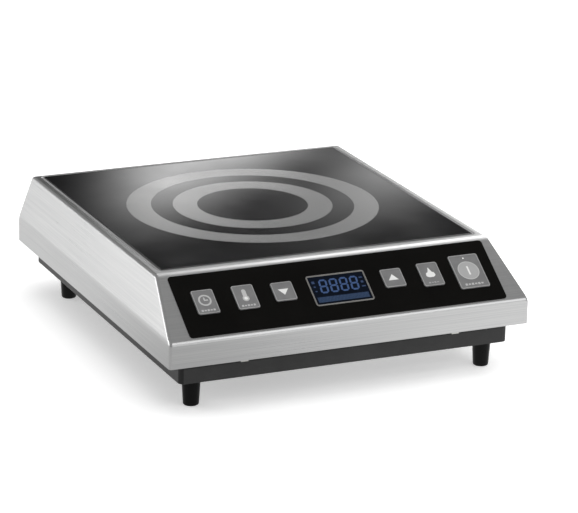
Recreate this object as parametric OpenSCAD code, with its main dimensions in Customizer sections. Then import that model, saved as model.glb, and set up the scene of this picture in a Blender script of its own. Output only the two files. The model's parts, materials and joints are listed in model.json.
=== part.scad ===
// Countertop induction hob: a folded steel housing on a moulded base with four feet,
// a glass-ceramic plate over the coil, a sloped control panel with travelling keys,
// and the cooling fan and power electronics inside.
// Units are millimetres. X is across, Y points to the rear, Z is up from the worktop.

/* [Overall] */
// Width across the steel band
overall_w = 340; // [338:1:360]
// Depth over the steel band
overall_d = 387; // [386:1:400]
// Height of the base underside above the worktop
foot_h = 25; // [22:1:35]
// Height of the base below the steel band
base_h = 19; // [19:1:22]
// Height of the upright steel band
band_h = 22.5; // [22:0.5:26]
// Rise from the band to the top sheet
slope_h = 41.1; // [41:0.1:44]
// Horizontal run of the sloped control face
front_run = 61; // [60:0.5:62]
// How far each side leans in towards the top
side_flare = 11.3; // [8:0.1:11.5]
// How far the rear leans in towards the top
rear_flare = 8.4; // [5:0.1:9]
// Thickness of the steel sheet
sheet_t = 1; // [0.8:0.1:1]

/* [Glass plate] */
// Side of the square glass plate
glass_size = 300; // [296:1:300]
// Thickness of the glass
glass_t = 4; // [3.5:0.5:4]
// Height of the glass above the top sheet
glass_proud = 0.4; // [0.2:0.1:0.6]
// Width of the seal around the glass
seal_w = 2; // [1.5:0.5:2]
// Steel strip between the top front edge and the glass
front_lip = 10.8; // [10:0.1:11]

/* [Control panel] */
// Width of the panel overlay
panel_w = 300; // [298:1:304]
// Length of the panel overlay up the slope
panel_h = 66; // [64:1:66]
// Thickness of the panel overlay
panel_t = 0.6; // [0.5:0.1:0.8]
// Distance of the overlay from the front fold
panel_low = 3.9; // [3.5:0.1:4.5]
// Width of the small keys
key_w = 20; // [18:0.5:21]
// Length of the symbol keys up the slope
key_h = 25.6; // [24:0.2:27]
// Width of the power key
power_w = 28.6; // [26:0.2:30]
// Length of the power key up the slope
power_h = 37; // [35:0.5:38]
// Height of a key above the overlay
key_proud = 0.8; // [0.6:0.1:1]
// Key travel when pressed
key_travel = 0.5; // [0.3:0.1:0.6]
// Width of the display bezel
display_w = 55.4; // [54:0.2:57]
// Height of the display bezel up the slope
display_h = 33; // [32:0.5:34]

/* [Base and feet] */
// Inset of the base sides from the band
base_inset = 14; // [13:0.5:15]
// Wall thickness of the base
base_wall = 2; // [1.8:0.1:2.2]
// Radius of a foot where it meets the base
foot_r_top = 8.3; // [8:0.1:9]
// Radius of a foot at the worktop
foot_r_bottom = 7; // [6.5:0.1:7.5]
// Distance of the feet from the middle plane
foot_x = 139; // [138:0.5:140]
// Distance of the front feet from the front
foot_front = 27.7; // [27:0.1:29]
// Distance of the rear feet from the front
foot_rear = 332; // [330:1:334]

/* [Coil] */
// Radius of the first coil turn
coil_r_in = 27; // [27:0.5:28]
// Number of coil turns
coil_turns = 19; // [17:1:19]
// Spacing of the coil turns
coil_pitch = 4.6; // [4.5:0.05:4.6]

/* [Cooling fan] */
// Side of the square fan frame
fan_size = 92; // [90:1:92]
// Thickness of the fan
fan_t = 25; // [25:0.5:26]
// Number of fan blades
blade_count = 7; // [5:1:9]

/* [Hidden] */
$fn = 64;
eps = 0.01;       // overshoot of a cut past the face that it opens
cut = 5;          // generous length of a cut through a thin wall

// Levels above the worktop
z_base = foot_h;
z_band = z_base + base_h;
z_fold = z_band + band_h;
z_top = z_fold + slope_h;
z_glass = z_top + glass_proud;

// Faces of the steel housing
x_side = overall_w / 2;
y_front = -overall_d / 2;
y_back = overall_d / 2;
y_lip = y_front + front_run;
slope_angle = atan2(slope_h, front_run);
side_angle = atan2(slope_h, side_flare);
rear_angle = atan2(slope_h, rear_flare);

// Glass recess
glass_y = y_lip + front_lip + glass_size / 2;
seal_t = 0.6;
ledge_w = 10;
z_ledge = z_glass - glass_t - seal_t;
recess = glass_size + 2 * seal_w;
glass_corner = 3;

// Control panel, measured from the front fold up the slope
panel_mid = panel_low + panel_h / 2;
aperture_gap = 0.35;
flange_w = 1;
sheet_gap = 0.5;
key_corner = 2;
stem_r = 3;
plunger_r = 1.6;
board_top = -12.4;
board_t = 1.6;
board_w = 288;
board_h = 56;
switch_h = 3.5;
switch_well = 2.4;
timer_x = -125;
temp_x = -88;
down_x = -52;
symbol_s = 39;
arrow_s = 40;
arrow_h = 20;
power_s = 37.1;
display_s = 36.3;
bezel_rim = 1.5;
bezel_proud = 0.5;
lens_w = display_w - 2 * bezel_rim;
lens_h = display_h - 2 * bezel_rim;
// Each key as [x, distance up the slope, width, length]
TIMER = [timer_x, symbol_s, key_w, key_h];
TEMP = [temp_x, symbol_s, key_w, key_h];
DOWN = [down_x, arrow_s, key_w, arrow_h];
UP = [-down_x, arrow_s, key_w, arrow_h];
HEAT = [-temp_x, symbol_s, key_w, key_h];
POWER = [-timer_x, power_s, power_w, power_h];
KEYS = [TIMER, TEMP, DOWN, UP, HEAT, POWER];
LED_UP = 14.6;    // distance of the lens above the middle of the power key
STUDS = [[-139, 11], [139, 11], [-139, 61.3], [139, 61.3], [-70, 61.3], [70, 61.3]];

// Moulded base
pan_front_gap = 11.1;
pan_rear_gap = 13.3;
pan_w = overall_w - 2 * base_inset;
pan_d = overall_d - pan_front_gap - pan_rear_gap;
pan_y = (pan_front_gap - pan_rear_gap) / 2;
pan_corner = 5;
rim_t = 1.5;
rim_w = 7;
z_floor = z_base + base_wall;
rim_y_front = pan_y - pan_d / 2 - 3.8;
rim_y_rear = pan_y + pan_d / 2 + 3.8;
rim_x = pan_w / 2 + 4;
FEET = [[-foot_x, y_front + foot_front], [foot_x, y_front + foot_front],
        [-foot_x, y_front + foot_rear], [foot_x, y_front + foot_rear]];
BASE_SCREWS = [[-130, rim_y_front], [0, rim_y_front], [130, rim_y_front],
               [-130, rim_y_rear], [0, rim_y_rear], [130, rim_y_rear],
               [-rim_x, -90], [-rim_x, 90], [rim_x, -90], [rim_x, 90]];
CLIP_X = 100;
gland_x = 70;
gland_z = z_base + 9.6;
gland_bore_r = 4.5;
pan_rear = pan_y + pan_d / 2;

// Fan
fan_x = -90;
fan_y = 30;
fan_z = z_floor + 2;
fan_hole = 41.25;
duct_r = 44;
hub_r = 19;
blade_r = 42.3;
bearing_r = 3;
shaft_r = 1.5;

// Coil stack, from the glass down
coil_y = glass_y;
mica_t = 0.5;
z_mica = z_glass - glass_t - 0.1 - mica_t;
turn_r = 2.35;
coil_r_out = coil_r_in + (coil_turns - 1) * coil_pitch + turn_r;
z_turns = z_mica - 0.3 - turn_r;
z_carrier = z_turns - turn_r - 13;
plate_t = 1.5;
z_plate = z_carrier - plate_t;
plate_w = 244;
post_gap = 112;
spoke_count = 8;
POSTS = [[-post_gap, coil_y - post_gap], [post_gap, coil_y - post_gap],
         [-post_gap, coil_y + post_gap], [post_gap, coil_y + post_gap]];

// Power board
pcb_x = 60;
pcb_y = 29;
pcb_w = 176;
pcb_d = 194;
pcb_t = 1.6;
z_pcb = z_floor + 10;
z_parts = z_pcb + pcb_t;
sink_w = 90;
sink_d = 100;
sink_base = 6;
sink_fins = 13;
sink_h = 34;
sink_x = 23;
sink_y = 40;
chip_t = 5;
block_x = 20;
block_y = 158;
PCB_SCREWS = [for (x = [-82, 0, 82], y = [-91, 91]) [pcb_x + x, pcb_y + y]];
LEAD_Y = [coil_y - 6, coil_y + 6];
terminal_x = 134;

// Lowering of a bend's inner line on an upright wall, for a sheet of thickness t
function fold_drop(t, a) = t * (1 - sin(a)) / cos(a);
// Shift of a bend's inner line along the top sheet
function lip_shift(t, a) = t * (1 - cos(a)) / sin(a);

// ---------- shared shapes ----------

// Flat rectangle with rounded corners, centred
module rounded_rect(w, d, r) {
  square([w - 2 * r, d], center = true);
  square([w, d - 2 * r], center = true);
  for (x = [-1, 1], y = [-1, 1])
    translate([x * (w / 2 - r), y * (d / 2 - r)])
      circle(r = r);
}

// Upright slab with rounded corners, centred in X and Y
module slab(w, d, r, z0, z1) {
  translate([0, 0, z0])
    linear_extrude(height = z1 - z0)
      rounded_rect(w, d, r);
}

// Upright cylinder between two levels
module post(x, y, r, z0, z1) {
  translate([x, y, z0])
    cylinder(r = r, h = z1 - z0);
}

// Box that stands on a level, centred in X and Y
module block(x, y, w, d, z0, z1) {
  translate([x - w / 2, y - d / 2, z0])
    cube([w, d, z1 - z0]);
}

// Frame of the sloped face: x across, y up the slope, z outwards
module on_panel(x, s) {
  translate([0, y_front, z_fold])
    rotate([slope_angle, 0, 0])
      translate([x, s, 0])
        children();
}

// Round wire along a list of points, a little thicker where it bends
module wire(points, r) {
  bend_r = 1.15 * r;
  for (i = [0 : len(points) - 2]) {
    step = points[i + 1] - points[i];
    translate(points[i])
      rotate([0, acos(step[2] / norm(step)), atan2(step[1], step[0])])
        cylinder(r = r, h = norm(step));
  }
  for (i = [1 : len(points) - 2])
    translate(points[i])
      sphere(r = bend_r);
}

// Flat cable of width w and thickness t along [y, z] points, a little thicker where it bends
module strip(x, points, w, t) {
  bend_r = 0.65 * t;
  for (i = [0 : len(points) - 2]) {
    step = points[i + 1] - points[i];
    translate([x - w / 2, points[i][0], points[i][1]])
      rotate([atan2(step[1], step[0]), 0, 0])
        translate([0, 0, -t / 2])
          cube([w, norm(step), t]);
  }
  for (i = [1 : len(points) - 2])
    translate([x - w / 2, points[i][0], points[i][1]])
      rotate([0, 90, 0])
        cylinder(r = bend_r, h = w);
}

// Upright slot with round ends that runs through a wall along Y
module wall_slot(x, y, z0, z1, w) {
  translate([x - w / 2, y - cut, z0 + w / 2])
    cube([w, 2 * cut, z1 - z0 - w]);
  for (z = [z0 + w / 2, z1 - w / 2])
    translate([x, y + cut, z])
      rotate([90, 0, 0])
        cylinder(r = w / 2, h = 2 * cut);
}

// ---------- steel housing ----------

// Outline of the housing seen from the side, t inside the outer faces
module side_profile(t, low) {
  polygon([
    [y_front + t, low],
    [y_back - t, low],
    [y_back - t, z_fold - fold_drop(t, rear_angle)],
    [y_back - rear_flare - lip_shift(t, rear_angle), z_top - t],
    [y_lip + lip_shift(t, slope_angle), z_top - t],
    [y_front + t, z_fold - fold_drop(t, slope_angle)]
  ]);
}

// Outline of the housing seen from the front, t inside the outer faces
module front_profile(t, low) {
  top = x_side - side_flare - lip_shift(t, side_angle);
  fold = z_fold - fold_drop(t, side_angle);
  polygon([
    [-x_side + t, low],
    [x_side - t, low],
    [x_side - t, fold],
    [top, z_top - t],
    [-top, z_top - t],
    [-x_side + t, fold]
  ]);
}

// Solid housing form with every face moved in by t and its underside at low
module body_form(t, low) {
  intersection() {
    rotate([90, 0, 90])
      linear_extrude(height = overall_w, center = true)
        side_profile(t, low);
    rotate([90, 0, 0])
      linear_extrude(height = overall_d, center = true)
        front_profile(t, low);
  }
}

// Openings in the sloped sheet behind the keys and the display
module panel_windows() {
  for (k = KEYS)
    on_panel(k[0], k[1])
      slab(k[2] + 2 * (flange_w + sheet_gap), k[3] + 2 * (flange_w + sheet_gap), 3, -cut, cut);
  on_panel(0, display_s)
    slab(lens_w + 1, lens_h + 1, 1, -cut, cut);
}

// Folded stainless housing with its glass recess and return flange
module housing() {
  color([0.72, 0.73, 0.74])
    difference() {
      union() {
        difference() {
          body_form(0, z_band);
          body_form(sheet_t, z_band + sheet_t);
        }
        translate([0, glass_y, 0])
          slab(recess + 2 * sheet_t, recess + 2 * sheet_t, glass_corner + 3,
               z_ledge - sheet_t, z_top);
      }
      translate([0, glass_y, 0]) {
        slab(recess, recess, glass_corner + 2, z_ledge, z_top + cut);
        slab(glass_size - 2 * ledge_w, glass_size - 2 * ledge_w, glass_corner,
             z_ledge - cut, z_top + cut);
      }
      translate([0, pan_y, 0])
        slab(pan_w - 2 * base_wall, pan_d - 2 * base_wall, pan_corner,
             z_band - cut, z_band + sheet_t + eps);
      panel_windows();
      for (x = [-143 : 11 : 143])
        wall_slot(x, y_back, z_band + 5, z_fold - 5, 4);
      for (p = BASE_SCREWS)
        post(p[0], p[1], 1.65, z_band - eps, z_band + sheet_t + eps);
    }
}

// Glass-ceramic plate
module glass_plate() {
  color([0.06, 0.06, 0.07])
    translate([0, glass_y, 0])
      slab(glass_size, glass_size, glass_corner, z_glass - glass_t, z_glass);
}

// Silicone seal beside and under the edge of the glass
module glass_seal() {
  color([0.2, 0.2, 0.2])
    translate([0, glass_y, 0])
      difference() {
        slab(recess, recess, glass_corner + 2, z_ledge, z_top - 0.1);
        slab(glass_size, glass_size, glass_corner, z_ledge + seal_t, z_top + cut);
        slab(glass_size - 2 * (ledge_w - 2), glass_size - 2 * (ledge_w - 2), glass_corner,
             z_ledge - eps, z_top);
      }
}

// Mica sheet between the coil and the glass
module mica_sheet() {
  color([0.8, 0.74, 0.6])
    translate([0, coil_y, 0])
      difference() {
        post(0, 0, 119, z_mica, z_mica + mica_t);
        post(0, 0, 9, z_mica - eps, z_mica + mica_t + eps);
      }
}

// ---------- control panel ----------

// Black overlay sheet with an opening for each key and the display
module control_overlay() {
  color([0.05, 0.05, 0.045])
    difference() {
      on_panel(0, panel_mid)
        slab(panel_w, panel_h, 3, 0, panel_t);
      for (k = KEYS)
        on_panel(k[0], k[1])
          slab(k[2] + 2 * aperture_gap, k[3] + 2 * aperture_gap,
               key_corner + aperture_gap, -eps, panel_t + eps);
      on_panel(0, display_s)
        slab(lens_w, lens_h, 1, -eps, panel_t + eps);
    }
}

// Key cap with a retaining flange, a stem and the switch plunger below it
module key_cap(k) {
  flange_top = -0.1;
  flange_low = flange_top - 1;
  stem_low = board_top + switch_h + 1.4;
  plunger_low = board_top + switch_h - 0.7;
  on_panel(k[0], k[1]) {
    slab(k[2], k[3], key_corner, flange_low, panel_t + key_proud);
    slab(k[2] + 2 * flange_w, k[3] + 2 * flange_w, key_corner + 0.5, flange_low, flange_top);
    post(0, 0, stem_r, stem_low, flange_low + eps);
    post(0, 0, plunger_r, plunger_low, stem_low + eps);
  }
}

module key_timer() { color([0.42, 0.42, 0.42]) key_cap(TIMER); }
module key_temp() { color([0.42, 0.42, 0.42]) key_cap(TEMP); }
module key_down() { color([0.42, 0.42, 0.42]) key_cap(DOWN); }
module key_up() { color([0.42, 0.42, 0.42]) key_cap(UP); }
module key_heat() { color([0.42, 0.42, 0.42]) key_cap(HEAT); }

// Power key with a pocket for its indicator lens
module key_power() {
  color([0.42, 0.42, 0.42])
    difference() {
      key_cap(POWER);
      on_panel(POWER[0], POWER[1] + LED_UP)
        post(0, 0, 1.1, panel_t - 0.6, panel_t + key_proud + eps);
    }
}

// Indicator lens let into the power key
module power_led_lens() {
  color("white")
    on_panel(POWER[0], POWER[1] + LED_UP)
      post(0, 0, 1.1, panel_t - 0.6, panel_t + key_proud);
}

// Raised frame around the display
module display_bezel() {
  color([0.55, 0.53, 0.48])
    on_panel(0, display_s)
      difference() {
        slab(display_w, display_h, 2.5, panel_t, panel_t + bezel_proud);
        slab(lens_w, lens_h, 1.2, panel_t - eps, panel_t + cut);
      }
}

// Smoked window over the digits
module display_lens() {
  color([0.08, 0.1, 0.16])
    on_panel(0, display_s)
      slab(lens_w, lens_h, 1, -0.8, panel_t);
}

// Four-digit display block on the control board
module display_module() {
  color([0.1, 0.1, 0.12])
    on_panel(0, display_s) {
      block(0, 0, 50.4, 28, board_top, -1.2);
      for (x = [-12.5 : 12.5 : 25])
        block(x - 6.25, 2, 8, 15, -1.2 - eps, -0.9);
    }
}

// Circuit board behind the sloped face, with its cable connector
module control_board() {
  color([0.1, 0.3, 0.16]) {
    difference() {
      on_panel(0, panel_mid)
        slab(board_w, board_h, 2, board_top - board_t, board_top);
      for (p = STUDS)
        on_panel(p[0], p[1])
          post(0, 0, 1.6, board_top - cut, board_top + cut);
    }
    on_panel(40, 30)
      block(0, 0, 20, 7, board_top - board_t - 8, board_top - board_t);
    on_panel(-45, 30)
      block(0, 0, 14, 14, board_top - board_t - 1.6, board_top - board_t);
  }
}

// Tact switches, each with a well for the plunger above it
module tact_switches() {
  color([0.12, 0.12, 0.12])
    for (k = KEYS)
      on_panel(k[0], k[1])
        difference() {
          block(0, 0, 7, 7, board_top, board_top + switch_h);
          post(0, 0, plunger_r + 0.4, board_top + switch_h - switch_well, board_top + cut);
        }
}

// Sounder on the rear of the control board
module buzzer() {
  color([0.1, 0.1, 0.1])
    on_panel(-15, 22)
      difference() {
        post(0, 0, 6, board_top - board_t - 7, board_top - board_t);
        post(0, 0, 1.2, board_top - board_t - 7 - eps, board_top - board_t - 5);
      }
}

// Threaded studs welded behind the sloped face
module panel_studs() {
  color([0.7, 0.7, 0.68])
    for (p = STUDS)
      on_panel(p[0], p[1])
        difference() {
          post(0, 0, 3, board_top, -sheet_t);
          post(0, 0, 1.3, board_top - eps, board_top + 8);
        }
}

// Screws that hold the control board to the studs
module control_board_screws() {
  under = board_top - board_t;
  color([0.75, 0.75, 0.72])
    for (p = STUDS)
      on_panel(p[0], p[1])
        difference() {
          union() {
            post(0, 0, 2.6, under - 1.8, under);
            post(0, 0, 1.25, under - eps, board_top + 5);
          }
          block(0, 0, 3, 0.7, under - 1.8 - eps, under - 1);
          block(0, 0, 0.7, 3, under - 1.8 - eps, under - 1);
        }
}

// Flat cable from the control board to the power board
module control_cable() {
  plug = [y_front + 30 * cos(slope_angle) + 22 * sin(slope_angle),
          z_fold + 30 * sin(slope_angle) - 22 * cos(slope_angle)];
  color([0.6, 0.6, 0.58])
    strip(40, [plug, plug + [5, -8], [-142, 46], [-130, 42.5], [pcb_y - pcb_d / 2 + 1, 42.5]],
          18, 1.2);
}

// ---------- base, feet and fasteners ----------

// Intake slots under the fan, cut to a circle
module intake_slots() {
  reach = duct_r - 4;
  for (x = [-36 : 8 : 36]) {
    half = sqrt(reach * reach - x * x);
    for (side = [-1, 1])
      translate([fan_x + x, fan_y + side * (half + 6) / 2, z_base - eps])
        linear_extrude(height = base_wall + 2 * eps)
          rounded_rect(4, half - 2, 1.9);
  }
}

// Moulded base tray with its rim, bosses and air slots
module base_pan() {
  color([0.13, 0.13, 0.13])
    difference() {
      union() {
        difference() {
          union() {
            translate([0, pan_y, 0]) {
              slab(pan_w, pan_d, pan_corner, z_base, z_band);
              slab(pan_w + 2 * rim_w, pan_d + 2 * rim_w, pan_corner + rim_w, z_band - rim_t, z_band);
            }
          }
          translate([0, pan_y, 0])
            slab(pan_w - 2 * base_wall, pan_d - 2 * base_wall, pan_corner - base_wall,
                 z_floor, z_band + cut);
        }
        for (p = FEET)
          post(p[0], p[1], 6.5, z_floor - eps, z_floor + 10);
        for (p = PCB_SCREWS)
          post(p[0], p[1], 4, z_floor - eps, z_pcb);
        for (x = [-1, 1], y = [-1, 1])
          post(fan_x + x * fan_hole, fan_y + y * fan_hole, 4, z_floor - eps, fan_z);
      }
      for (p = FEET)
        post(p[0], p[1], 2.05, z_base - eps, z_floor + 11);
      for (p = PCB_SCREWS)
        post(p[0], p[1], 1.3, z_floor, z_pcb + eps);
      for (x = [-1, 1], y = [-1, 1])
        post(fan_x + x * fan_hole, fan_y + y * fan_hole, 1.85, z_base + 1, fan_z + eps);
      for (p = BASE_SCREWS)
        post(p[0], p[1], 1.9, z_band - rim_t - eps, z_band + eps);
      intake_slots();
      for (x = [-138 : 9 : 33])
        wall_slot(x, pan_rear - base_wall / 2, z_floor + 2, z_band - rim_t - 2, 4);
      translate([gland_x, pan_rear + cut, gland_z])
        rotate([90, 0, 0])
          cylinder(r = 6, h = 2 * cut);
    }
}

// Steel clips over the edge of the base rim
module band_clips() {
  rim_edge = pan_d / 2 + rim_w;
  color([0.7, 0.7, 0.7])
    for (x = [-CLIP_X, CLIP_X], side = [-1, 1])
      translate([x, pan_y + side * (rim_edge + 0.4), 0]) {
        block(0, 0, 7, 0.8, z_band - rim_t - 0.8, z_band);
        block(0, -side * 1.8, 7, 2.9, z_band - rim_t - 0.8, z_band - rim_t);
      }
}

// Screws that hold the base to the housing flange
module base_screws() {
  under = z_band - rim_t;
  color([0.12, 0.12, 0.12])
    for (p = BASE_SCREWS)
      difference() {
        union() {
          post(p[0], p[1], 2.9, under - 1.8, under);
          post(p[0], p[1], 1.6, under - eps, z_band + sheet_t + 3);
        }
        block(p[0], p[1], 3.4, 0.8, under - 1.8 - eps, under - 0.9);
        block(p[0], p[1], 0.8, 3.4, under - 1.8 - eps, under - 0.9);
      }
}

// Tapered foot with a stepped screw hole
module foot(p) {
  recess_h = foot_h * 0.55;
  edge = 1.2;
  color([0.1, 0.1, 0.1])
    translate([p[0], p[1], 0])
      rotate_extrude()
        polygon([
          [4, 0], [foot_r_bottom - edge, 0], [foot_r_bottom - edge / 3, edge / 3],
          [foot_r_bottom, edge], [foot_r_top, foot_h], [2.1, foot_h], [2.1, recess_h],
          [4, recess_h]
        ]);
}

module foot_front_left() { foot(FEET[0]); }
module foot_front_right() { foot(FEET[1]); }
module foot_rear_left() { foot(FEET[2]); }
module foot_rear_right() { foot(FEET[3]); }

// Screws up through the feet into the base
module foot_screws() {
  seat = foot_h * 0.55;
  color([0.7, 0.7, 0.7])
    for (p = FEET)
      difference() {
        union() {
          post(p[0], p[1], 3.6, seat - 2.4, seat);
          post(p[0], p[1], 2, seat - eps, z_floor + 9);
        }
        block(p[0], p[1], 4.4, 1, seat - 2.4 - eps, seat - 1.2);
        block(p[0], p[1], 1, 4.4, seat - 2.4 - eps, seat - 1.2);
      }
}

// Cable gland through the rear wall, bored for the supply cable
module cable_gland() {
  color([0.08, 0.08, 0.08])
    translate([gland_x, pan_rear, gland_z])
      rotate([-90, 0, 0])
        difference() {
          union() {
            translate([0, 0, -12])
              cylinder(r = 5.95, h = 13);
            cylinder(r = 7.3, h = 4, $fn = 6);
            translate([0, 0, 4])
              cylinder(r = 7, h = 4);
            translate([0, 0, 8])
              cylinder(r1 = 7, r2 = 5.6, h = 4);
          }
          translate([0, 0, -13])
            cylinder(r = gland_bore_r, h = 26);
        }
}

// Nut that clamps the gland from inside
module gland_locknut() {
  color([0.08, 0.08, 0.08])
    translate([gland_x, pan_rear - base_wall, gland_z])
      rotate([90, 0, 0])
        difference() {
          cylinder(r = 7.4, h = 4, $fn = 6);
          translate([0, 0, -eps])
            cylinder(r = 5.95, h = 5);
        }
}

// Mains terminal block on the base floor
module terminal_block() {
  color([0.85, 0.84, 0.78])
    difference() {
      block(block_x, block_y, 36, 18, z_floor, z_floor + 15);
      for (x = [-11, 0, 11], y = [-4, 4])
        post(block_x + x, block_y + y, 2, z_floor + 9, z_floor + 15 + eps);
    }
}

// Three wires from the terminal block to the power board
module mains_wires() {
  high = z_parts + 4;
  color([0.5, 0.3, 0.2])
    for (x = [-11, 0, 11])
      wire([[block_x + x, block_y - 9, z_floor + 6], [block_x + x, block_y - 15, z_floor + 6],
            [block_x + x, block_y - 22, high], [block_x + x, pcb_y + pcb_d / 2 - 2, high]], 1.5);
}

// ---------- cooling fan ----------

// Square fan frame with the motor seat and its four struts
module fan_frame() {
  color([0.11, 0.11, 0.11])
    translate([fan_x, fan_y, fan_z])
      difference() {
        union() {
          difference() {
            union() {
              slab(fan_size, fan_size, 4, 0, 4);
              slab(fan_size, fan_size, 4, fan_t - 4, fan_t);
              cylinder(r = duct_r + 1.8, h = fan_t);
            }
            post(0, 0, duct_r, -eps, fan_t + eps);
          }
          post(0, 0, 18, 0, 2.5);
          post(0, 0, 5, 2, 17);
          for (a = [45 : 90 : 315])
            rotate([0, 0, a])
              translate([17, -1.5, 0])
                cube([duct_r - 16.5, 3, 2.5]);
        }
        post(0, 0, bearing_r, 2.5, 17 + eps);
        for (x = [-1, 1], y = [-1, 1])
          post(x * fan_hole, y * fan_hole, 2.1, -eps, fan_t + eps);
      }
}

// Sleeve bearing in the frame's centre tube
module fan_bearing() {
  color([0.75, 0.6, 0.35])
    translate([fan_x, fan_y, fan_z])
      difference() {
        post(0, 0, bearing_r, 2.5, 17);
        post(0, 0, shaft_r + 0.05, 2.5 - eps, 17 + eps);
      }
}

// Motor windings around the centre tube
module fan_stator() {
  color([0.7, 0.4, 0.2])
    translate([fan_x, fan_y, fan_z])
      difference() {
        post(0, 0, 14, 5, 14);
        post(0, 0, 5.05, 5 - eps, 14 + eps);
        for (a = [0 : 90 : 270])
          rotate([0, 0, a])
            translate([8, -1.5, 5 - eps])
              cube([7, 3, 9 + 2 * eps]);
      }
}

// Rotor: a cup over the motor, the shaft and the blades
module fan_rotor() {
  color([0.16, 0.16, 0.16])
    translate([fan_x, fan_y, fan_z]) {
      difference() {
        post(0, 0, hub_r, 4.5, 22.5);
        post(0, 0, hub_r - 2.5, 4.5 - eps, 20);
      }
      post(0, 0, shaft_r, 2.8, 20 + eps);
      for (i = [0 : blade_count - 1])
        intersection() {
          rotate([0, 0, i * 360 / blade_count])
            translate([hub_r - 1, 0, 13])
              rotate([38, 0, 0])
                translate([0, -13, -0.7])
                  cube([blade_r, 26, 1.4]);
          difference() {
            post(0, 0, blade_r, 4.5, 21.5);
            post(0, 0, hub_r - 0.6, 4, 22);
          }
        }
    }
}

// Screws through the fan corners into the base
module fan_screws() {
  color([0.7, 0.7, 0.7])
    for (x = [-1, 1], y = [-1, 1])
      translate([fan_x + x * fan_hole, fan_y + y * fan_hole, fan_z + fan_t])
        difference() {
          union() {
            cylinder(r = 3.4, h = 2.2);
            translate([0, 0, -fan_t - 2.6])
              cylinder(r = 1.8, h = fan_t + 3);
          }
          block(0, 0, 4.4, 1, 1.2, 2.2 + eps);
          block(0, 0, 1, 4.4, 1.2, 2.2 + eps);
        }
}

// ---------- induction coil ----------

// Litz winding: bonded turns in one flat disc
module coil_winding() {
  color([0.72, 0.42, 0.2])
    translate([0, coil_y, z_turns])
      rotate_extrude($fn = 96)
        for (i = [0 : coil_turns - 1])
          translate([coil_r_in + i * coil_pitch, 0])
            circle(r = turn_r, $fn = 24);
}

// Plastic carrier with a hub, an outer rim and spokes over the ferrite bars
module coil_carrier() {
  wall_top = z_turns + 1;
  seat = z_turns - turn_r;
  color([0.2, 0.2, 0.2])
    translate([0, coil_y, 0])
      difference() {
        union() {
          difference() {
            post(0, 0, coil_r_out + 5, z_carrier, wall_top);
            post(0, 0, coil_r_out + 0.5, z_carrier - eps, wall_top + eps);
          }
          post(0, 0, coil_r_in - turn_r - 0.3, z_carrier, wall_top);
          for (i = [0 : spoke_count - 1])
            rotate([0, 0, (i + 0.5) * 360 / spoke_count])
              translate([15, -11, z_carrier])
                cube([coil_r_out - 12, 22, seat - z_carrier]);
        }
        post(0, 0, 18, z_carrier - eps, wall_top + eps);
        for (i = [0 : spoke_count - 1])
          rotate([0, 0, (i + 0.5) * 360 / spoke_count])
            block(70, 0, 62.6, 14.6, z_carrier - eps, z_carrier + 5.1);
        block(coil_r_out, -6, 16, 7, z_carrier + 5.5, wall_top + eps);
        block(coil_r_out, 6, 16, 7, z_carrier + 5.5, wall_top + eps);
      }
}

// Ferrite bars in the pockets of the spokes
module ferrite_bars() {
  color([0.22, 0.22, 0.23])
    translate([0, coil_y, 0])
      for (i = [0 : spoke_count - 1])
        rotate([0, 0, (i + 0.5) * 360 / spoke_count])
          block(70, 0, 62, 14, z_carrier, z_carrier + 5);
}

// Aluminium plate that carries the coil
module coil_plate() {
  color([0.75, 0.76, 0.78])
    difference() {
      translate([0, coil_y, 0])
        slab(plate_w, plate_w, 8, z_plate, z_carrier);
      for (a = [0 : 90 : 270])
        translate([0, coil_y, 0])
          rotate([0, 0, a])
            post(72, 0, 24, z_plate - eps, z_carrier + eps);
      for (p = POSTS)
        post(p[0], p[1], 1.8, z_plate - eps, z_carrier + eps);
    }
}

// Pillars between the base and the coil plate
module coil_posts() {
  color([0.85, 0.85, 0.82])
    for (p = POSTS)
      difference() {
        post(p[0], p[1], 6, z_floor, z_plate);
        post(p[0], p[1], 1.6, z_plate - 14, z_plate + eps);
      }
}

// Screws down through the coil plate into the pillars
module coil_plate_screws() {
  color([0.7, 0.7, 0.7])
    for (p = POSTS)
      difference() {
        union() {
          post(p[0], p[1], 3, z_carrier, z_carrier + 2);
          post(p[0], p[1], 1.55, z_plate - 10, z_carrier + eps);
        }
        block(p[0], p[1], 3.6, 0.8, z_carrier + 1, z_carrier + 2 + eps);
        block(p[0], p[1], 0.8, 3.6, z_carrier + 1, z_carrier + 2 + eps);
      }
}

// Temperature sensor pressed against the glass
module pan_sensor() {
  color([0.9, 0.9, 0.88])
    translate([0, coil_y, 0]) {
      post(0, 0, 8, z_glass - glass_t - 6, z_glass - glass_t);
      post(0, 0, 4, z_carrier + 6, z_glass - glass_t - 6 + eps);
    }
}

// Cup that guides the sensor
module sensor_holder() {
  color([0.3, 0.3, 0.3])
    translate([0, coil_y, 0])
      difference() {
        post(0, 0, 12, z_carrier, z_carrier + 9);
        post(0, 0, 4.3, z_carrier + 2, z_carrier + 9 + eps);
      }
}

// Two litz leads from the coil down to the terminals
module coil_leads() {
  out_x = terminal_x;
  color([0.72, 0.42, 0.2])
    for (y = LEAD_Y)
      wire([[coil_r_out - 2, y, z_turns - 4.25], [out_x - 8, y, z_turns - 4.25],
            [out_x, y, z_turns - 14], [out_x, y, z_parts + 10]], 1.8);
}

// ---------- power electronics ----------

// Power board with its cable headers
module power_board() {
  color([0.1, 0.32, 0.18]) {
    difference() {
      block(pcb_x, pcb_y, pcb_w, pcb_d, z_pcb, z_parts);
      for (p = PCB_SCREWS)
        post(p[0], p[1], 1.7, z_pcb - eps, z_parts + eps);
    }
    block(40, pcb_y - pcb_d / 2 + 5, 22, 8, z_parts, z_parts + 8);
    block(block_x, pcb_y + pcb_d / 2 - 7, 34, 10, z_parts, z_parts + 9);
  }
}

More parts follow.
